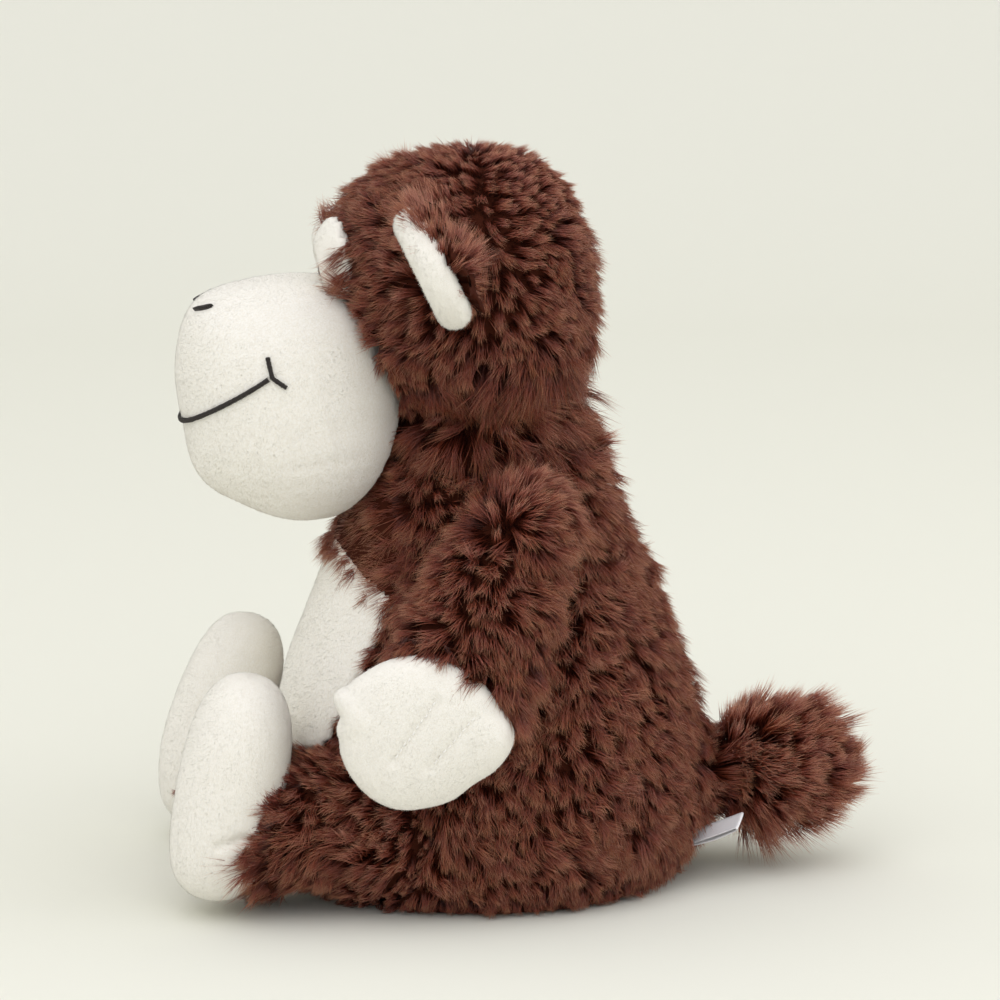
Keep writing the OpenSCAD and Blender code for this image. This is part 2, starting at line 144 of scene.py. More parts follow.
def solids_of(nodes):
    """Vertices and triangles of some CAD nodes, as arrays."""
    co, tris, start = [], [], 0
    for name in nodes:
        mesh = frame["nodes"][name].data
        mesh.calc_loop_triangles()
        points = np.empty(len(mesh.vertices) * 3)
        mesh.vertices.foreach_get("co", points)
        corners = np.empty(len(mesh.loop_triangles) * 3, int)
        mesh.loop_triangles.foreach_get("vertices", corners)
        co.append(points.reshape(-1, 3))
        tris.append(corners.reshape(-1, 3) + start)
        start += len(mesh.vertices)
    return np.concatenate(co), np.concatenate(tris)


def tree_of(nodes):
    """A search tree over some CAD nodes."""
    co, tris = solids_of(nodes)
    return BVHTree.FromPolygons(co.tolist(), tris.tolist())


def new_mesh(name, co, faces, uv=None):
    """A smooth mesh from arrays. faces is a list of face arrays, each with its own corner count."""
    mesh = bpy.data.meshes.new(name)
    mesh.vertices.add(len(co))
    mesh.vertices.foreach_set("co", np.asarray(co, np.float32).ravel())
    corners = np.concatenate([f.ravel() for f in faces]).astype(np.int32)
    counts = np.concatenate([np.full(len(f), f.shape[1]) for f in faces])
    mesh.loops.add(len(corners))
    mesh.loops.foreach_set("vertex_index", corners)
    mesh.polygons.add(len(counts))
    mesh.polygons.foreach_set("loop_start", (np.cumsum(counts) - counts).astype(np.int32))
    mesh.polygons.foreach_set("use_smooth", np.ones(len(counts), bool))
    if uv is not None:
        layer = mesh.uv_layers.new(name="OFBake")
        layer.data.foreach_set("uv", np.asarray(uv, np.float32)[corners].ravel())
    mesh.update(calc_edges=True)
    return mesh


def new_piece(name, mesh, made_of, body):
    """Puts a mesh in the scene, on its body, in its finish."""
    piece = bpy.data.objects.new(name, mesh)
    mesh.materials.append(made_of)
    bpy.context.scene.collection.objects.link(piece)
    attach(piece, body)
    return piece


class Skin:
    """The outside of a stuffed form: points, normals and quads."""

    def __init__(self, co, quads):
        self.co, self.quads = co, quads
        self.find_normals()

    def find_normals(self):
        mesh = new_mesh("skin", self.co, [self.quads])
        self.no = np.empty(len(self.co) * 3)
        mesh.vertex_normals.foreach_get("vector", self.no)
        self.no = self.no.reshape(-1, 3)
        bpy.data.meshes.remove(mesh)

    def tree(self):
        """A search tree over the skin as it is now."""
        return BVHTree.FromPolygons(self.co.tolist(), self.quads.tolist())


def outer_skin(nodes, voxel, smooth=6):
    """Wraps CAD nodes in one soft skin of even quads, and drops what lies inside it."""
    co, tris = solids_of(nodes)
    source = bpy.data.objects.new("wrap", new_mesh("wrap", co, [tris]))
    bpy.context.scene.collection.objects.link(source)
    wrap = source.modifiers.new("wrap", "REMESH")
    wrap.mode = "VOXEL"
    wrap.voxel_size = voxel
    relax = source.modifiers.new("relax", "SMOOTH")
    relax.factor = 0.5
    relax.iterations = smooth
    wrapped = bpy.data.meshes.new_from_object(
        source.evaluated_get(bpy.context.evaluated_depsgraph_get()))
    points = np.empty(len(wrapped.vertices) * 3)
    wrapped.vertices.foreach_get("co", points)
    points = points.reshape(-1, 3)
    quads = np.empty(len(wrapped.loops), int)
    wrapped.loops.foreach_get("vertex_index", quads)
    quads = quads.reshape(-1, 4)
    bpy.data.objects.remove(source)
    label = np.arange(len(points))
    while True:
        low = label[quads].min(1)
        new = label.copy()
        for corner in range(4):
            np.minimum.at(new, quads[:, corner], low)
        new = new[new]
        if (new == label).all():
            break
        label = new
    names, sizes = np.unique(label, return_counts=True)
    outside = label == names[sizes.argmax()]
    order = np.cumsum(outside) - 1
    quads = order[quads[outside[quads[:, 0]]]]
    return Skin(points[outside], quads)


def lumps(points, size, seed):
    """Smooth irregular values between -1 and 1 that vary over about size."""
    draw = np.random.default_rng(seed)
    way = draw.normal(size=(9, 3))
    way *= (2 * math.pi / size * draw.uniform(0.6, 1.5, 9) / np.linalg.norm(way, axis=1))[:, None]
    phase = draw.uniform(0, 2 * math.pi, 9)
    return np.sin(points @ way.T + phase).sum(1) / 4


def unit(v):
    return v / np.maximum(np.linalg.norm(v, axis=-1, keepdims=True), 1e-9)


def areas_of(skin):
    """The area of each quad of a skin."""
    corners = skin.co[skin.quads]
    return np.linalg.norm(np.cross(corners[:, 2] - corners[:, 0],
                                   corners[:, 3] - corners[:, 1]), axis=1) / 2


def sow(skin, area, count, draw):
    """Random points on a skin, in proportion to area, with their normals."""
    pick = draw.choice(len(area), count, p=area / area.sum())
    u, v = draw.random((2, count, 1))
    mix = [(1 - u) * (1 - v), u * (1 - v), u * v, (1 - u) * v]
    at = sum(m * skin.co[skin.quads[pick, i]] for i, m in enumerate(mix))
    up = unit(sum(m * skin.no[skin.quads[pick, i]] for i, m in enumerate(mix)))
    return at, up


TRIES = 2.2


def scatter(skin, spacing, draw):
    """Points spread over a skin, at least spacing apart, with their normals."""
    area = areas_of(skin)
    at, up = sow(skin, area, int(area.sum() / spacing ** 2 * TRIES), draw)
    taken, keep = {}, []
    cells = np.floor(at / spacing).astype(int)
    for i, cell in enumerate(map(tuple, cells)):
        near = [taken.get((cell[0] + a, cell[1] + b, cell[2] + c))
                for a in (-1, 0, 1) for b in (-1, 0, 1) for c in (-1, 0, 1)]
        if all(j is None or np.dot(at[j] - at[i], at[j] - at[i]) > spacing ** 2 for j in near):
            taken[cell] = i
            keep.append(i)
    return at[keep], up[keep]


def in_parts(name, co, faces, uv, most, made_of, body):
    """Puts many small shapes in the scene, in pieces of at most so many shapes each."""
    for number, first in enumerate(range(0, len(co), most), 1):
        part = slice(first, first + most)
        jump = (np.arange(len(co[part])) * co.shape[1])[:, None, None]
        mesh = new_mesh(name, co[part].reshape(-1, 3),
                        [(face + jump).reshape(-1, face.shape[1]) for face in faces],
                        uv[part].reshape(-1, 2))
        new_piece(f"{name}_{number}", mesh, made_of, body)


MOST_FIBRES = 19500


def fibres(name, root, up, comb, length, body, slot, made_of, draw, per_lock=29, spread=2.9 * MM,
           thick=0.3 * MM, lift=(58, 14), gather=0.62, stray=16):
    """Grows locks of tapered fibres from root points. Each lock leans along comb and its fibres
    draw together towards the tip."""
    locks = len(root)
    comb = unit(comb - (comb * up).sum(1, keepdims=True) * up)
    side = np.cross(up, comb)
    turn = np.radians(draw.normal(0, stray, locks))[:, None]
    comb, side = (comb * np.cos(turn) + side * np.sin(turn),
                  side * np.cos(turn) - comb * np.sin(turn))

    def each(values):
        return np.repeat(values, per_lock, axis=0)

    total = locks * per_lock
    n, c, s = each(up), each(comb), each(side)
    rise = np.radians(each(lift[0] + draw.normal(0, 9, locks)) + draw.normal(0, 6, total))[:, None]
    droop = np.radians(each(lift[1] + draw.normal(0, 9, locks)) + draw.normal(0, 7, total))[:, None]
    yaw = np.radians(draw.normal(0, 6, total))[:, None]
    ahead = c * np.cos(yaw) + s * np.sin(yaw)
    start = np.cos(rise) * ahead + np.sin(rise) * n
    end = np.cos(droop) * ahead + np.sin(droop) * n
    bend = np.radians(draw.normal(0, 16, total))[:, None]
    end = unit(end * np.cos(bend) + np.cross(n, end) * np.sin(bend))
    far, angle = np.sqrt(draw.random((total, 1))), draw.random((total, 1)) * 2 * math.pi
    offset = spread * far * (np.cos(angle) * c + np.sin(angle) * s)
    reach = (each(length * draw.uniform(0.8, 1.18, locks))[:, None] * (1.04 - 0.2 * far)
             * draw.uniform(0.86, 1.06, (total, 1)))
    base = each(root)
    axis = unit(start + end)
    e1 = unit(np.cross(axis, n + 0.01))
    e2 = np.cross(axis, e1)
    width = thick * draw.uniform(0.7, 1.2, (total, 1))
    spin = draw.random((total, 1)) * 2 * math.pi
    rings, along = [], []
    for t, w in ((0.0, 0.9), (0.55, 1.0)):
        middle = base + offset * (1 - gather * t) + reach * ((t - t * t / 2) * start
                                                            + t * t / 2 * end)
        for k in range(3):
            a = spin + k * 2 * math.pi / 3
            rings.append(middle + w * width / 2 * (np.cos(a) * e1 + np.sin(a) * e2))
            along.append(t)
    rings.append(base + offset * (1 - gather) + reach * (start + end) / 2)
    along.append(1.0)
    co = np.stack(rings, 1)
    co[:, :, 2] = np.maximum(co[:, :, 2], 0.4 * MM + 0.1 * MM * draw.random((total, 1)))
    tone = np.clip(each(draw.normal(0.5, 0.2, locks)) + draw.normal(0, 0.25, total), 0.01, 0.99)
    uv = np.stack([np.broadcast_to(tone[:, None], co.shape[:2]),
                   np.broadcast_to(0.01 + 0.98 * np.array(along), co.shape[:2])], 2)
    sides = np.array([[0, 1, 4, 3], [1, 2, 5, 4], [2, 0, 3, 5]])
    ends = np.array([[2, 1, 0], [3, 4, 6], [4, 5, 6], [5, 3, 6]])
    in_parts(name, co, [sides, ends], uv, MOST_FIBRES, made_of, body)


def joint_place(name):
    return np.array(next(j["pos_m"] for j in frame["joints"] if j["name"] == name))


NODES_OF = frame["record"]["behaviour"]["bodies"]
BACKING_DEPTH = 7 * MM
CLOSE = 14 * MM
LOCK_SPACING = 3.5 * MM
rest_of = {}


def rest_tree(body):
    """A search tree over every node that isn't on this body."""
    if body not in rest_of:
        rest_of[body] = tree_of([n for other, nodes in NODES_OF.items() if other != body
                                 for n in nodes])
    return rest_of[body]


def depth_of(points, body):
    """How deep the backing lies at each point. It comes up where another part sits close."""
    rest = rest_tree(body)
    near = np.array([rest.find_nearest(Vector(p))[3] for p in points])
    return BACKING_DEPTH * (0.2 + 0.8 * np.clip(near / CLOSE, 0, 1))


def near_to(nodes, points, reach):
    """1 on some CAD nodes, falling smoothly to 0 at reach from them."""
    tree = tree_of(nodes)
    far = np.array([tree.find_nearest(Vector(p))[3] for p in points])
    return ease(-far, -reach, 0.0)


def pile_roots(skin, own, body, spacing, draw, covered, clear, keep):
    """Where locks of long pile grow: on the brown cover, with the room that each has."""
    at, up = scatter(skin, spacing, draw)
    if keep:
        kept = keep(at)
        at, up = at[kept], up[kept]
    brown = tree_of(own)
    cream = tree_of(covered) if covered else None
    rest = rest_tree(body)
    rows, room = [], []
    for i, (p, n) in enumerate(zip(at, up)):
        point, way = Vector(p), Vector(n)
        if cream and cream.find_nearest(point)[3] < brown.find_nearest(point)[3]:
            continue
        near = rest.find_nearest(point)[3]
        if near < clear:
            continue
        hit = rest.ray_cast(point + way * 0.2 * MM, way, 2 * CLOSE)
        room.append(0.0 if near < 1.5 * MM else 2 * CLOSE if hit[0] is None else hit[3])
        rows.append(i)
    at, up = at[rows], up[rows]
    return at, up, np.array(room)


def backing_piece(name, skin, body, slot, *replaced):
    """The lumpy backing cloth that the long pile grows from, just under the pile's mean surface."""
    sunk = (depth_of(skin.co, body) * (1 + 0.2 * lumps(skin.co, 14 * MM, 3)))[:, None]
    mesh = new_mesh(name, skin.co - skin.no * sunk, [skin.quads])
    piece = new_piece(name, mesh, backing, body)
    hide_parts(*replaced)


def long_fur(name, skin, body, cover, covered, flow, seed, length=17 * MM, spacing=None,
             grow=None, clear=0.0, keep=None, **looks):
    """Long pile over a cover, combed along flow(points, normals), short where another part lies
    close over it, longer by grow(points), and left out within clear of another part."""
    draw = np.random.default_rng(seed)
    at, up, room = pile_roots(skin, [cover], body, spacing or LOCK_SPACING, draw, covered,
                              clear, keep)
    long = (length * (0.5 + 0.5 * np.clip(room / CLOSE, 0, 1))
            * (1 + 0.18 * lumps(at, 20 * MM, seed + 5)))
    if grow:
        long = long * grow(at)
    if "lift" in looks:
        looks["lift"] = looks["lift"](at)
    root = at - up * depth_of(at, body)[:, None]
    fibres(name, root, up, flow(at, up), long, body, "brown_fur", long_pile, draw, **looks)


def ease(x, low, high):
    """0 below low and 1 above high, smooth between them."""
    t = np.clip((x - low) / (high - low), 0, 1)
    return t * t * (3 - 2 * t)


def swirl(root, up, comb, seed, size=38 * MM, most=55):
    """Turns a combing direction about the normal by patches, as tumbled pile lies."""
    angle = np.radians(most * lumps(root, size, seed))[:, None]
    comb = unit(comb - (comb * up).sum(1, keepdims=True) * up)
    return comb * np.cos(angle) + np.cross(up, comb) * np.sin(angle)


# ---- Torso -----------------------------------------------------------------------------
# A stuffed pear of long pile. The back leans in to the neck, and the pile falls towards the
# seat and stands away from it.
torso_nodes = ["torso_cover", "belly_panel", "seat_panel", "torso_filling"]
torso_skin = outer_skin(torso_nodes, 4 * MM, smooth=4)
backing_piece("torso_backing", torso_skin, "torso", "brown_fur", "torso_cover",
              "torso_filling")


def down_the_back(at, up):
    """Towards the seat, but forward over the upper edge of the belly panel."""
    chest = chest_of(at)[:, None]
    fall = np.array([0.0, 0.15, -1.0]) * (1 - chest) + np.array([0.0, -1.0, -0.35]) * chest
    return swirl(at, up, fall, 11, most=45)


def chest_of(at):
    """1 on the upper front of the torso."""
    return ease(-at[:, 1], 0.028, 0.05) * ease(at[:, 2], 0.128, 0.15)


def sat_on(at):
    """1 by the floor, where the pile is crushed short."""
    return ease(-at[:, 2], -0.032, -0.006)


long_fur("torso_pile", torso_skin, "torso", "torso_cover", ["belly_panel", "seat_panel"],
         down_the_back, 101, stray=22,
         grow=lambda at: 1 + 0.3 * chest_of(at) - 0.4 * sat_on(at),
         lift=lambda at: (58 - 14 * chest_of(at), 16 - 10 * chest_of(at)))


BIB_FRONT, BIB_HEIGHT, BIB_SLOPE = -0.075, 0.153, 0.875


def over_the_bib(at):
    """How far a point is above the line where the long pile stops on the chest."""
    return at[:, 2] - BIB_HEIGHT + BIB_SLOPE * (at[:, 1] - BIB_FRONT)


def by_the_bib(at):
    """The top of the belly panel and the strip beside it, which tufts of the pile lie over."""
    beside = near_to(["belly_panel"], at, 10 * MM) > 0.02
    return (over_the_bib(at) > 1 * MM) & beside & (at[:, 1] < -0.03) & (at[:, 2] > 0.125)


long_fur("chest_tufts", torso_skin, "torso", "torso_cover", [], down_the_back, 109,
         length=20 * MM, spacing=2.3 * MM, keep=by_the_bib,
         lift=lambda at: (40, 2))

# ---- Short cream pile ------------------------------------------------------------------
# Minky plush: a dense velvet of polyester about 2 mm long on a knit. It reads as a soft matt
# cream with faint streaks where the pile was brushed, and a fuzz along every edge.
plush = mottled("short_cream_minky_plush", 9 * MM, [(0.3, "#efeadd"), (0.7, "#faf8f1")],
                noise={"Detail": 4.0, "Roughness": 0.6},
                grain=(0.9 * MM, 0.3, 0.3 * MM, {"Detail": 3.0, "Roughness": 0.7}),
                Roughness=0.95, Specular_IOR_Level=0.15, Sheen_Weight=0.25, Sheen_Roughness=0.6)
# The warm end of these fibres' tone is also used for painted warm shade on the muzzle.
short_pile = fibre_material(
    "short_cream_pile_fibres",
    cool=[(0.0, "#f1eee6"), (1.0, "#fbfaf7")], warm=[(0.0, "#e9dfc6"), (1.0, "#f5ecd5")],
    Roughness=0.9, Specular_IOR_Level=0.15, Sheen_Weight=0.2, Sheen_Roughness=0.6)
MOST_NAP = 48000


def nap_fibres(name, skin, body, slot, made_of, seed, comb=(0, 0, -1), length=1.3 * MM,
               per_mm2=2.1, thick=0.34 * MM, lift=38, warmth=None, bare=None):
    """A velvet of single short tapered fibres over a skin, brushed along comb."""
    draw = np.random.default_rng(seed)
    area = areas_of(skin)
    if bare:
        area = area * ~bare(skin.co[skin.quads].mean(1))
    count = int(area.sum() / MM ** 2 * per_mm2 * (1))
    at, up = sow(skin, area, count, draw)
    way = swirl(at, up, np.tile(np.array(comb, float), (count, 1)), seed, 30 * MM, 50)
    side = np.cross(up, way)
    turn = np.radians(draw.normal(0, 22, count))[:, None]
    way = way * np.cos(turn) + side * np.sin(turn)
    rise = np.radians(draw.normal(lift, 9, count))[:, None]
    axis = unit(np.cos(rise) * way + np.sin(rise) * up)
    side = unit(np.cross(axis, up + 0.01))
    rim = np.cross(axis, side)
    wide = thick / 2 * draw.uniform(0.7, 1.2, (count, 1))
    base = at - up * 0.5 * MM
    co = np.stack([base + wide * side, base - wide * (side - 1.7 * rim) / 2,
                   base - wide * (side + 1.7 * rim) / 2,
                   base + axis * length * draw.uniform(0.7, 1.25, (count, 1))], 1)
    co[:, :, 2] = np.maximum(co[:, :, 2], 0.2 * MM)
    # A fibre's tone wanders at random, and a piece may add painted warm shade to it, towards the warm end.
    tone = np.clip(draw.normal(0.22, 0.07, count) + (warmth(at) if warmth else 0), 0.01, 0.99)
    uv = np.stack([np.broadcast_to(tone[:, None], (count, 4)),
                   np.broadcast_to([0.1, 0.1, 0.1, 0.98], (count, 4))], 2)
    shape = np.array([[0, 1, 3], [1, 2, 3], [2, 0, 3], [2, 1, 0]])
    in_parts(name, co, [shape], uv, MOST_NAP, made_of, body)


def plush_piece(name, skin, body, *replaced, seed, slot="cream_plush", made_of=None, pile=None,
                **nap_looks):
    """A stuffed piece of short pile: its cloth, and the nap on it."""
    mesh = new_mesh(name, skin.co, [skin.quads])
    piece = new_piece(name, mesh, made_of or plush, body)
    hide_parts(*replaced)
    nap_fibres(name + "_nap", skin, body, slot, pile or short_pile, seed, **nap_looks)


def push(skin, amount):
    """Moves a skin along its normals, by one amount for each point."""
    skin.co = skin.co + skin.no * np.asarray(amount)[:, None]
    skin.find_normals()


# ---- Neck ------------------------------------------------------------------------------
# A short stuffed neck. Its pile fills the groove between the head and the torso.
neck_skin = outer_skin(NODES_OF["neck"], 3 * MM, smooth=2)
backing_piece("neck_backing", neck_skin, "neck", "brown_fur", *NODES_OF["neck"])
long_fur("neck_pile", neck_skin, "neck", "neck_cover", [], down_the_back, 107, length=27 * MM,
         clear=1.5 * MM, grow=lambda at: 1 - 0.25 * chest_of(at), lift=lambda at: (44, 8))

# ---- Belly panel -----------------------------------------------------------------------
# An oval of cream plush let into the front of the torso, with its edge lost in the long pile.
belly_skin = outer_skin(["belly_panel"], 2 * MM, smooth=4)
push(belly_skin, 0.6 * MM * lumps(belly_skin.co, 40 * MM, 21))
plush_piece("belly_panel_plush", belly_skin, "torso", "belly_panel", seed=22,
            bare=lambda at: over_the_bib(at) > 1 * MM)
chest_quads = belly_skin.quads[over_the_bib(belly_skin.co)[belly_skin.quads].min(1) > 2 * MM]
used, chest_corners = np.unique(chest_quads, return_inverse=True)
chest_cloth = new_piece("chest_backing", new_mesh(
    "chest_backing", (belly_skin.co + belly_skin.no * 1.3 * MM)[used],
    [chest_corners.reshape(-1, 4)]), backing, "torso")
chest_cloth.modifiers.new("thick", "SOLIDIFY").thickness = 1.0 * MM

# ---- Seat panel ------------------------------------------------------------------------
# A round of short brown plush under the torso, flat where the toy sits on it.
seat_pile = fibre_material(
    "short_brown_pile_fibres",
    cool=[(0.0, "#1d0f0b"), (1.0, "#4f3026")], warm=[(0.0, "#231109"), (1.0, "#5d3a28")],
    Roughness=0.7, Specular_IOR_Level=0.3)
seat_skin = outer_skin(["seat_panel"], 2 * MM, smooth=3)
seat_skin.co[:, 2] = np.maximum(seat_skin.co[:, 2], 0.3 * MM)
plush_piece("seat_panel_plush", seat_skin, "torso", "seat_panel", seed=23, slot="brown_plush",
            made_of=backing, pile=seat_pile, per_mm2=0.8)

# ---- Head ------------------------------------------------------------------------------
# A stuffed ball of long pile, flat at the back. The pile stands up over the brow, falls behind,
# and lies forward over the edge of the face.
head_skin = outer_skin(["head_cover", "head_filling", "eye_patches"], 3 * MM, smooth=4)
backing_piece("head_backing", head_skin, "head", "brown_fur", "head_cover", "head_filling")
head_low, head_high = (np.array(corner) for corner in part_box("head_cover"))
head_middle = (head_low + head_high) / 2


def face_of(at):
    """1 on the front half of the head, where the pile lies forward over the face."""
    return ease(-(at - head_middle)[:, 1] / (head_high - head_low)[1] * 2, -0.35, 0.6)


def over_the_head(at, up):
    out = (at - head_middle) / (head_high - head_low) * 2
    face = face_of(at)[:, None]
    behind = np.stack([out[:, 0] * 0.4, out[:, 1] + 0.1, 0.9 * out[:, 2] - 0.5], 1)
    ahead = np.stack([out[:, 0] * 0.2, out[:, 1] * 0 - 1, 0.9 * out[:, 2] - 0.1], 1)
    ahead = ahead * (1 - jowl_of(at))[:, None] + np.array([0.0, 0.5, -1.0]) * jowl_of(at)[:, None]
    return swirl(at, up, behind * (1 - face) + ahead * face, 31, most=45)


def jowl_of(at):
    """1 low on the sides of the face, where the pile falls back from the muzzle."""
    return face_of(at) * ease(-at[:, 2], -0.25, -0.23)


def crown_of(at):
    """1 on top of the head."""
    return ease(at[:, 2], 0.29, 0.31)


def scruff_of(at):
    """1 low on the head, where the pile hangs down over the neck."""
    return ease(-at[:, 2], -0.252, -0.228) * (1 - face_of(at))


long_fur("head_pile", head_skin, "head", "head_cover", ["eye_patches", "muzzle_cover"],
         over_the_head, 102, length=13 * MM, spacing=3.9 * MM,
         grow=lambda at: (1 + 1.5 * scruff_of(at) + 0.25 * face_of(at) - 0.5 * jowl_of(at)
                          - 0.3 * crown_of(at) + 0.4 * near_to(["eye_patches"], at, 12 * MM)),
         lift=lambda at: (60 - 16 * face_of(at) - 14 * scruff_of(at)
                          + 80 * face_of(at) * (1 - face_of(at)) * crown_of(at),
                          28 - 14 * face_of(at) - 22 * scruff_of(at)))

# ---- Muzzle ----------------------------------------------------------------------------
# A big stuffed ball of cream plush on the face, let into the head all round.
muzzle_skin = outer_skin(["muzzle_cover", "muzzle_filling"], 1.7 * MM, smooth=8)
muzzle_low, muzzle_high = (np.array(corner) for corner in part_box("muzzle_cover"))


def along_line(skin, line):
    """How far each point of a skin is from a line of points."""
    line = np.array(line, float)
    near = np.full(len(skin.co), np.inf)
    for a, b in zip(line[:-1], line[1:]):
        t = np.clip((skin.co - a) @ (b - a) / ((b - a) @ (b - a)), 0, 1)[:, None]
        near = np.minimum(near, np.linalg.norm(skin.co - a - t * (b - a), axis=1))
    return near


def crease(skin, line, depth, width):
    """Presses a line into a skin, or raises it where depth is below zero."""
    push(skin, -depth * np.exp(-(along_line(skin, line) / width) ** 2))


def cast(skin, place, way):
    """Where each line from place along way meets a skin, and the normals there."""
    tree = skin.tree()
    hits = [tree.ray_cast(Vector(p), Vector(w)) for p, w in zip(place, way)]
    hits = [h for h in hits if h[0] is not None]
    return np.array([h[0] for h in hits]), np.array([h[1] for h in hits])


def facing(skin, points):
    """A skin's normals nearest some points."""
    tree = skin.tree()
    return np.array([tree.find_nearest(Vector(p))[1] for p in points])


def from_the_side(skin, line, side):
    """Lays a line, given as (y, z), on a skin seen from one side."""
    line = np.array(line, float)
    place = np.column_stack([np.full(len(line), side * 0.3), line])
    return cast(skin, place, np.tile([-side, 0.0, 0.0], (len(line), 1)))[0]


def mould(skin, *places):
    """Swells or hollows a skin round places given as (y, z), by so many mm over so many mm."""
    for y, z, out, wide in places:
        push(skin, out * MM * np.exp(-((skin.co[:, 1] - y) ** 2
                                       + (skin.co[:, 2] - z) ** 2) / (wide * MM) ** 2))


NOSTRIL_X, NOSTRIL_Y, ABOVE = 0.018, -0.1285, 0.4
mould(muzzle_skin, (-0.133, 0.258, 3, 15), (-0.118, 0.164, -5.5, 22), (-0.142, 0.2, -2, 18))
for side in (1, -1):
    dart = from_the_side(muzzle_skin, [(-0.083, 0.232), (-0.080, 0.222), (-0.077, 0.210),
                                       (-0.0745, 0.199)], side)
    crease(muzzle_skin, dart, -0.5 * MM, 1.4 * MM)
    fold = from_the_side(muzzle_skin, [(-0.090, 0.193), (-0.076, 0.195), (-0.062, 0.196)], side)
    crease(muzzle_skin, fold, 0.3 * MM, 2.0 * MM)
    nostril, _ = cast(muzzle_skin, [[side * NOSTRIL_X, NOSTRIL_Y, ABOVE]], [[0.0, 0.0, -1.0]])
    push(muzzle_skin, -0.7 * MM * np.exp(-(np.linalg.norm(muzzle_skin.co - nostril, axis=1)
                                          / (6 * MM)) ** 2))


def painted_warm_shade(at):
    """Painted warm shade: the pile is tinted warmer low on the muzzle and near the long pile round it, where shade
    and bounced light fall.
    """
    height = (at[:, 2] - muzzle_low[2]) / (muzzle_high[2] - muzzle_low[2])
    return 0.3 * ease(-height, -0.6, 0.0) + 0.35 * ease(at[:, 1], -0.075, -0.045)


# The muzzle's nap is tinted warmer low down and beside the long pile: painted warm shade.
plush_piece("muzzle_plush", muzzle_skin, "head", "muzzle_cover", "muzzle_filling", seed=41,
            comb=(0, -0.3, -1), warmth=painted_warm_shade)

# ---- Mouth and nostrils ----------------------------------------------------------------
# Satin stitch in black rayon thread, sewn through the plush before the muzzle was stuffed.
black_thread = mottled("black_rayon_thread", 0.6 * MM, [(0.35, "#161210"), (0.7, "#3a322e")],
                       Roughness=0.45, Specular_IOR_Level=0.4)
STITCH_SPACING = 0.42 * MM
THREAD_SIDES, THREAD_RINGS = 5, 6


def stitches(name, middle, across, up, width, body, made_of, thick=0.55 * MM,
             proud=1.5 * MM):
    """Threads laid side by side over the pile, each along across and dipping at its ends."""
    bow = np.array([-1, -0.82, -0.4, 0.4, 0.82, 1])
    rise = np.array([-0.2, 0.75, 1, 1, 0.75, -0.2])
    path = (middle[:, None] + across[:, None] * (np.asarray(width)[:, None] / 2 * bow)[..., None]
            + up[:, None] * (rise * proud)[:, None])
    along = np.cross(across, up)
    ring = [np.cos(a) * up + np.sin(a) * along
            for a in np.arange(THREAD_SIDES) * 2 * math.pi / THREAD_SIDES]
    co = (path[:, :, None] + thick / 2 * np.stack(ring, 1)[:, None]).reshape(-1, 3)
    jump = (np.arange(len(middle)) * THREAD_RINGS * THREAD_SIDES)[:, None, None]
    grid = np.arange(THREAD_RINGS * THREAD_SIDES).reshape(THREAD_RINGS, THREAD_SIDES)
    beside = np.roll(grid, -1, axis=1)
    walls = np.stack([grid[:-1], beside[:-1], beside[1:], grid[1:]], 2).reshape(-1, 4)
    caps = np.stack([grid[0, ::-1], grid[-1]])
    mesh = new_mesh(name, co, [(walls + jump).reshape(-1, 4),
                               (caps + jump).reshape(-1, THREAD_SIDES)])
    new_piece(name, mesh, made_of, body)


def satin_stitch(name, place, way, width, seed):
    """A satin-stitched line that follows the points where some rays meet the muzzle."""
    points, ups = cast(muzzle_skin, place, way)
    step = np.concatenate([[0], np.cumsum(np.linalg.norm(np.diff(points, axis=0), axis=1))])
    at = np.arange(0, step[-1], STITCH_SPACING)
    middle = np.column_stack([np.interp(at, step, points[:, i]) for i in range(3)])
    up = unit(np.column_stack([np.interp(at, step, ups[:, i]) for i in range(3)]))
    along = unit(np.gradient(middle, axis=0))
    across = unit(np.cross(up, along))
    draw = np.random.default_rng(seed)
    wide = np.interp(at / step[-1], *width) * (1 + draw.normal(0, 0.07, len(at)))
    stitches(name, middle, across, up, wide, "head", black_thread)


def round_the_muzzle(turn, height):
    """Rays towards the muzzle's upright axis, from turn degrees round from the front."""
    turn = np.radians(turn)
    way = np.column_stack([-np.sin(turn), np.cos(turn), np.zeros(len(turn))])
    axis = np.array([0.0, (muzzle_low + muzzle_high)[1] / 2, 0.0])
    return axis + np.column_stack([-way[:, 0] * 0.15, -way[:, 1] * 0.15, height]), way


MOUTH_TURN = 80
turn = np.linspace(-MOUTH_TURN, MOUTH_TURN, 340)
satin_stitch("mouth", *round_the_muzzle(turn, 0.207 + 0.025 * (np.abs(turn) / MOUTH_TURN) ** 2.2),
             ([0, 1], [2.1 * MM, 2.1 * MM]), 42)
for side, turned in (("left", 1), ("right", -1)):
    corner = np.interp(np.linspace(0, 2, 40), [0, 1, 2], [79.3, 81.5, 87.5])
    level = np.interp(np.linspace(0, 2, 40), [0, 1, 2], [0.2405, 0.2325, 0.2285])
    satin_stitch("mouth_corner_" + side, *round_the_muzzle(turned * corner, level),
                 ([0, 1], [2.0 * MM, 2.0 * MM]), 43)
    run = np.linspace(-1, 1, 24)
    slit = np.column_stack([turned * (NOSTRIL_X + run * 4.5 * MM), NOSTRIL_Y + run * 3.8 * MM,
                            np.full(len(run), ABOVE)])
    satin_stitch("nostril_" + side, slit, np.tile([0.0, 0.0, -1.0], (len(run), 1)),
                 ([0, 0.25, 0.75, 1], [0.7 * MM, 2.0 * MM, 2.0 * MM, 0.7 * MM]), 44)

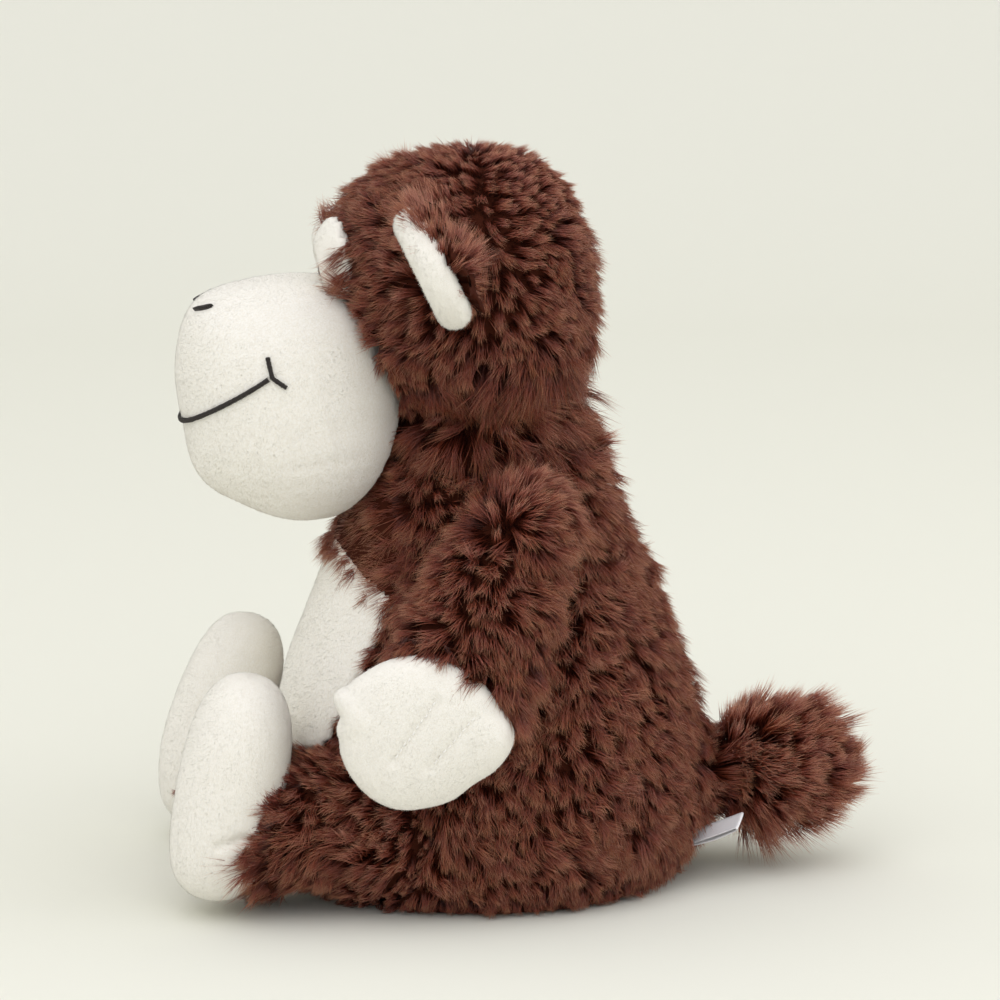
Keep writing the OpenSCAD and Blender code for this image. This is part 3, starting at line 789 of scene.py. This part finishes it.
# ---- Eye patches and eyes --------------------------------------------------------------
# Two plump cream lobes over the muzzle, each with a small black safety eye drawn into it.
patch_skin = outer_skin(["eye_patches"], 1.5 * MM, smooth=4)
eye_middles = np.array([np.array(sum(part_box("eye_" + side), Vector())) / 2
                        for side in ("left", "right")])
patch_low, patch_high = (np.array(corner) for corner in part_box("eye_patches"))
ahead = patch_skin.no[:, 1] < 0
across = np.abs(patch_skin.co[:, 0]) - 0.26 * (patch_high - patch_low)[0]
height = patch_skin.co[:, 2] - (0.6 * patch_high[2] + 0.4 * patch_low[2])
lobe = np.clip(1 - (across ** 2 + height ** 2) / (17 * MM) ** 2, 0, 1) ** 0.7
from_eye = np.min([np.hypot(patch_skin.co[:, 0] - m[0], patch_skin.co[:, 2] - m[2])
                   for m in eye_middles], axis=0)
push(patch_skin, ahead * lobe * 6 * MM * (1 - np.exp(-(from_eye / (5.5 * MM)) ** 2)))
plush_piece("eye_patch_plush", patch_skin, "head", "eye_patches", seed=51)
eye_gloss = mottled("polished_black_acrylic", 2 * MM, [(0.3, "#070605"), (0.7, "#120e0c")],
                    noise={"Detail": 2.0}, Roughness=0.12, IOR=1.49)
for side in ("left", "right"):
    frame["nodes"]["eye_" + side].data.materials.clear()
    frame["nodes"]["eye_" + side].data.materials.append(eye_gloss)

# ---- Ears ------------------------------------------------------------------------------
# A cup of cream plush with a stuffed lip, and long pile on its back that falls over the lip.


def centre_of(at, place):
    """1 at a whorl's centre, as seen from the side, where the pile stands up."""
    return np.exp(-(np.linalg.norm((at - place)[:, 1:], axis=1) / (9 * MM)) ** 2)


def fan_from(place, then, seed):
    """Combs outward from a place, muddled close to it, and blended with a steady direction."""
    def flow(at, up):
        away = (at - place) * np.array([0.1, 1.0, 1.0])
        near = centre_of(at, place)[:, None]
        muddle = np.random.default_rng(seed).normal(size=at.shape) * 0.6 * near
        return swirl(at, up, unit(away) * (1 - near) + muddle + np.array(then, float), seed,
                     30 * MM, 28)
    return flow


for side in ("left", "right"):
    body = "ear_" + side
    lining_skin = outer_skin([body + "_lining"], 1.3 * MM, smooth=6)
    push(lining_skin, np.full(len(lining_skin.co), 2.4 * MM))
    plush_piece(body + "_lining_plush", lining_skin, body, body + "_lining", seed=62,
                comb=(0, -0.5, -0.5), length=1.6 * MM)
    back_skin = outer_skin([body + "_back"], 2 * MM, smooth=3)
    backing_piece(body + "_backing", back_skin, body, "brown_fur", body + "_back")
    ear_low, ear_high = (np.array(corner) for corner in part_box(body + "_back"))
    ear_middle = (ear_low + ear_high) / 2
    ear_fan = ear_middle + np.array([0.0, 11, 0]) * MM
    long_fur(body + "_pile", back_skin, body, body + "_back", [body + "_lining"],
             fan_from(ear_fan, (0, -0.35, 0.25), 61), 103, length=18 * MM,
             spacing=3.0 * MM,
             keep=lambda at: ((at[:, 2] > ear_middle[2])
                              | ((facing(back_skin, at)[:, 1] > 0.1)
                                 & (near_to([body + "_lining"], at, 6 * MM) < 0.5))),
             grow=lambda at: (0.5 + 0.6 * ease(at[:, 2], ear_middle[2] - 0.008, ear_middle[2])
                              + 0.1 * (at[:, 1] > ear_middle[1] + 3 * MM)
                              * (at[:, 2] < ear_middle[2] - 4 * MM)),
             lift=lambda at: (54 + 26 * centre_of(at, ear_fan), 20 + 40 * centre_of(at, ear_fan)))

# ---- Arms ------------------------------------------------------------------------------
# A sleeve of long pile that fans out from a whorl over the shoulder, with a flat stuffed cream
# hand. Two rows of white stitches through the hand part its fingers.
white_thread = mottled("white_polyester_thread", 0.6 * MM, [(0.35, "#f1efe9"), (0.7, "#fdfcf8")],
                       Roughness=0.6, Specular_IOR_Level=0.3)
SINGLE_STITCH, STITCH_GAP = 1.9 * MM, 1.1 * MM
SLEEVE_REACH = 108 * MM


def running_stitch(name, skin, line, body):
    """Single white stitches end to end along a line on a skin."""
    line = np.array(line, float)
    step = np.concatenate([[0], np.cumsum(np.linalg.norm(np.diff(line, axis=0), axis=1))])
    at = np.arange(SINGLE_STITCH / 2, step[-1] - SINGLE_STITCH / 2, SINGLE_STITCH + STITCH_GAP)
    middle = np.column_stack([np.interp(at, step, line[:, i]) for i in range(3)])
    tree = skin.tree()
    found = [tree.find_nearest(Vector(m)) for m in middle]
    middle, up = np.array([f[0] for f in found]), np.array([f[1] for f in found])
    across = np.gradient(middle, axis=0)
    across = unit(across - (across * up).sum(1, keepdims=True) * up)
    stitches(name, middle, across, up, np.full(len(at), SINGLE_STITCH), body,
             white_thread, thick=0.5 * MM, proud=1.1 * MM)


for side, turned in (("left", 1), ("right", -1)):
    body = "arm_" + side
    whorl = joint_place("shoulder_" + side) + np.array([turned * 32, -16, -7]) * MM
    sleeve_skin = outer_skin(["sleeve_" + side, body + "_filling"], 3 * MM, smooth=4)
    sleeve_skin.co[:, 0] = turned * np.minimum(turned * sleeve_skin.co[:, 0], SLEEVE_REACH)
    backing_piece(body + "_backing", sleeve_skin, body, "brown_fur", "sleeve_" + side,
                  body + "_filling")

    def hem_of(at):
        """1 by the sleeve's hem, where the pile hangs over the hand."""
        return ease(-at[:, 2], -0.135, -0.108)

    long_fur(body + "_pile", sleeve_skin, body, "sleeve_" + side, ["hand_" + side],
             fan_from(whorl, (0, -0.2, -0.8), 104), 104, length=18 * MM, stray=12,
             grow=lambda at: 1 + 0.2 * hem_of(at),
             lift=lambda at: (54 - 12 * hem_of(at) + 14 * centre_of(at, whorl),
                              14 - 10 * hem_of(at) + 30 * centre_of(at, whorl)))
    hand_skin = outer_skin(["hand_" + side, "hand_" + side + "_filling"], 1.4 * MM, smooth=8)
    mould(hand_skin, (-0.077, 0.113, 6, 8), (-0.080, 0.096, -6, 8), (-0.036, 0.050, -4, 16),
          (-0.012, 0.056, -8, 17), (-0.003, 0.088, 3, 10))
    rows = [from_the_side(hand_skin, np.linspace(a, b, 8), turned)
            for a, b in (((-0.035, 0.105), (-0.053, 0.080)), ((-0.0185, 0.098), (-0.037, 0.0775)))]
    for row in rows:
        crease(hand_skin, row, 1.1 * MM, 2.2 * MM)
    plush_piece(f"hand_{side}_plush", hand_skin, body, "hand_" + side,
                f"hand_{side}_filling", seed=71, comb=(0, -0.6, -0.8))
    for i, row in enumerate(rows):
        running_stitch(f"hand_{side}_stitches_{i + 1}", hand_skin, row, body)

# ---- Legs ------------------------------------------------------------------------------
# Short thighs of long pile that lie flat, each with an upright cream foot at its end. The
# pile hangs over the foot's heel, and a tuft of it is caught in the foot's side seam.
for side, turned in (("left", 1), ("right", -1)):
    body = "leg_" + side
    leg_skin = outer_skin([body + "_cover", body + "_filling"], 3 * MM, smooth=4)
    backing_piece(body + "_backing", leg_skin, body, "brown_fur", body + "_cover",
                  body + "_filling")

    def to_the_foot(at, up):
        return swirl(at, up, np.tile([0.0, -1.0, -0.25], (len(at), 1)), 81, 35 * MM, 35)

    def ankle_of(at):
        """1 low on the leg's end, where the pile hangs over the heel."""
        return ease(-at[:, 1], 0.088, 0.105) * (1 - 0.9 * ease(at[:, 2], 0.02, 0.045))

    long_fur(body + "_pile", leg_skin, body, body + "_cover", ["foot_" + side], to_the_foot, 105,
             stray=20, grow=lambda at: 1 + 0.7 * ankle_of(at) - 0.3 * sat_on(at),
             lift=lambda at: (56 - 12 * ankle_of(at), 14 - 8 * ankle_of(at)))
    foot_skin = outer_skin(["foot_" + side, "foot_" + side + "_filling"], 1.6 * MM, smooth=8)
    foot_skin.co[:, 2] += 5 * MM * ease(-foot_skin.co[:, 2], -0.03, 0.0)
    if side == "right":
        foot_skin.co[:, 1] -= 6 * MM * ease(-foot_skin.co[:, 2], -0.1, -0.04)
    foot_skin.find_normals()
    seam = from_the_side(foot_skin, [(-0.1253, 0.0368), (-0.115, 0.0397), (-0.1066, 0.036)], turned)
    crease(foot_skin, seam, 1.6 * MM, 2.2 * MM)
    heel = from_the_side(foot_skin, [(-0.118, 0.038), (-0.113, 0.024), (-0.108, 0.014)], turned)
    crease(foot_skin, heel, 0.9 * MM, 3.0 * MM)
    plush_piece(f"foot_{side}_plush", foot_skin, body, "foot_" + side,
                f"foot_{side}_filling", seed=82)
    caught = np.concatenate([
        from_the_side(foot_skin, [(-0.1125, 0.0355), (-0.1120, 0.0335)], turned),
        from_the_side(foot_skin, [(-0.1405, 0.029)], -turned)])
    out = facing(foot_skin, caught)
    fibres(f"foot_{side}_tuft", caught - out * 0.3 * MM, out,
           np.array([[0, -1, -0.3], [0, -1, -0.5], [0, -1, -0.1]]), np.array([13, 12, 12]) * MM,
           body, "brown_fur", long_pile, np.random.default_rng(108), per_lock=40, lift=(34, 4),
           stray=10, spread=1.6 * MM)

# ---- Tail ------------------------------------------------------------------------------
# A short stuffed tail with its longest pile at the tip, where it fans out like a brush.
tail_skin = outer_skin(["tail_cover", "tail_filling"], 3 * MM, smooth=4)
backing_piece("tail_backing", tail_skin, "tail", "brown_fur", "tail_cover", "tail_filling")
tail_root = joint_place("tail_wag")


def brush_of(at):
    """1 towards the tip of the tail."""
    return ease(at[:, 1] - tail_root[1], 0.02, 0.06)


def under_of(at):
    """1 on the under side of the tail."""
    return ease(-at[:, 2], -0.045, -0.03)


def along_the_tail(at, up):
    return swirl(at, up, np.tile([0.0, 1.0, 0.0], (len(at), 1)), 91, 30 * MM, 22)


long_fur("tail_pile", tail_skin, "tail", "tail_cover", [], along_the_tail, 106, length=18 * MM,
         stray=14, grow=lambda at: (1 - 0.2 * brush_of(at) + 0.5 * under_of(at)
                                    + 0.2 * (1 - brush_of(at))
                                    + 0.5 * brush_of(at) * ease(at[:, 2], 0.06, 0.072)),
         lift=lambda at: (56 + 12 * under_of(at), 28))

# ---- Care label ------------------------------------------------------------------------
# A white satin ribbon, folded in two and sewn by its ends into the seam beside the tail. Bare.
satin = mottled("white_polyester_satin_ribbon", 2.5 * MM, [(0.35, "#e9e8ea"), (0.7, "#f7f7f8")],
                grain=(0.35 * MM, 0.25, 0.05 * MM, {"Detail": 2.0}),
                Roughness=0.38, Sheen_Weight=0.3, Sheen_Roughness=0.4)
LABEL_WIDTH, LABEL_REACH, LABEL_SEWN = 12 * MM, 24 * MM, 3 * MM
label_co, label_tris = solids_of(["care_label"])
label_way = np.cross(label_co[label_tris[:, 1]] - label_co[label_tris[:, 0]],
                     label_co[label_tris[:, 2]] - label_co[label_tris[:, 0]])
label_size = np.linalg.norm(label_way, axis=1)
label_up = label_way[label_size.argmax()] / label_size.max()
label_up = label_up * np.sign(label_up[2])
edge = np.abs(unit(label_way) @ label_up) < 0.1
edge_way = unit(label_way[edge])
label_out = edge_way[np.argmax(edge_way[:, 1] * (label_size[edge] > 1e-7))]
label_side = np.cross(label_out, label_up)
end = label_co[(label_co @ label_out) > (label_co @ label_out).max() - 0.1 * MM].mean(0)
FOLD = 0.7 * MM
down = np.linspace(-LABEL_REACH - LABEL_SEWN, -FOLD, 22)
turn_over = np.linspace(-math.pi / 2, math.pi / 2, 9)[1:-1]
run = np.concatenate([down, FOLD * (np.cos(turn_over) - 1), down[::-1]])
rise = np.concatenate([np.full(22, -FOLD), FOLD * np.sin(turn_over), np.full(22, FOLD)])
rise = rise * (1 + 0.5 * np.sin(np.clip(-run / LABEL_REACH, 0, 1) * math.pi))
across = np.linspace(-0.5, 0.5, 9) * LABEL_WIDTH
bowed = (end + run[:, None, None] * label_out + across[:, None] * label_side
         + (rise[:, None] + 0.3 * MM * (across / LABEL_WIDTH * 2) ** 2
            + 0.6 * MM * np.sin(run / LABEL_REACH * 3)[:, None])[..., None] * label_up)
plies = np.array([[i * 9 + j, (i + 1) * 9 + j, (i + 1) * 9 + j + 1, i * 9 + j + 1]
                  for i in range(len(run) - 1) for j in range(8)])
label = new_piece("care_label_ribbon", new_mesh("care_label_ribbon", bowed.reshape(-1, 3),
                                                [plies]), satin, "torso")
thick = label.modifiers.new("thick", "SOLIDIFY")
thick.thickness = 0.18 * MM
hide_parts("care_label")

# ---- Studio ----------------------------------------------------------------------------
# A seamless pale sweep, lit by one large soft source ahead and above, with bright white all round.
paper, _, _ = new_material("seamless_studio_paper", Base_Color=linear("#e8e8dd"), Roughness=1.0,
                           Specular_IOR_Level=0.0)
SWEEP = 14.0
sweep_side = np.array([[-SWEEP, 0.0], [1.6, 0.0]]
                      + [[1.6 + 1.2 * math.sin(a), 1.2 - 1.2 * math.cos(a)]
                         for a in np.linspace(0.05, math.pi / 2, 14)] + [[2.8, 6.0]])
sweep_co = np.array([[-u, w, v] for w in (-SWEEP, SWEEP) for u, v in sweep_side])
steps = len(sweep_side)
sweep_quads = np.array([[i, i + 1, steps + i + 1, steps + i] for i in range(steps - 1)])
sweep = bpy.data.objects.new("sweep", new_mesh("sweep", sweep_co, [sweep_quads]))
sweep.data.materials.append(paper)
bpy.context.scene.collection.objects.link(sweep)

world = bpy.data.worlds.new("studio")
bpy.context.scene.world = world
world.use_nodes = True
sky = world.node_tree
way = add(sky, "ShaderNodeTexCoord")
upward = add(sky, "ShaderNodeSeparateXYZ", {0: way.outputs["Generated"]})
dome = add(sky, "ShaderNodeValToRGB", {0: upward.outputs["Z"]})
set_ramp(dome, [(0.0, "#c6c6c9"), (0.6, "#fdfcff")])
sky.links.new(dome.outputs[0], sky.nodes["Background"].inputs[0])
sky.nodes["Background"].inputs[1].default_value = 1.12


def softbox(name, place, target, size, power):
    lamp = bpy.data.lights.new(name, "AREA")
    lamp.shape = "RECTANGLE"
    lamp.size, lamp.size_y = size
    lamp.energy = power
    lit = bpy.data.objects.new(name, lamp)
    lit.location = place
    lit.rotation_euler = (Vector(target) - Vector(place)).to_track_quat("-Z", "Y").to_euler()
    bpy.context.scene.collection.objects.link(lit)


MIDDLE = (0.0, 0.0, 0.168)
softbox("key", (1.2, -0.2, 1.9), MIDDLE, (1.9, 1.9), 8)
softbox("back", (0.3, 1.6, 1.3), MIDDLE, (1.4, 1.4), 5)

DISTANCE, AZIMUTH, ELEVATION = 1.8, math.radians(86), math.radians(11)
VIEW_WIDTH, SENSOR = 0.44, 36
camera = bpy.data.objects.new("camera", bpy.data.cameras.new("camera"))
camera.data.sensor_width = SENSOR
camera.data.lens = SENSOR * DISTANCE / VIEW_WIDTH
camera.location = Vector(MIDDLE) + DISTANCE * Vector(
    (math.sin(AZIMUTH) * math.cos(ELEVATION), -math.cos(AZIMUTH) * math.cos(ELEVATION),
     math.sin(ELEVATION)))
camera.rotation_euler = (Vector(MIDDLE) - camera.location).to_track_quat("-Z", "Y").to_euler()
bpy.context.scene.collection.objects.link(camera)
bpy.context.scene.camera = camera
bpy.context.scene.view_settings.view_transform = "Standard"
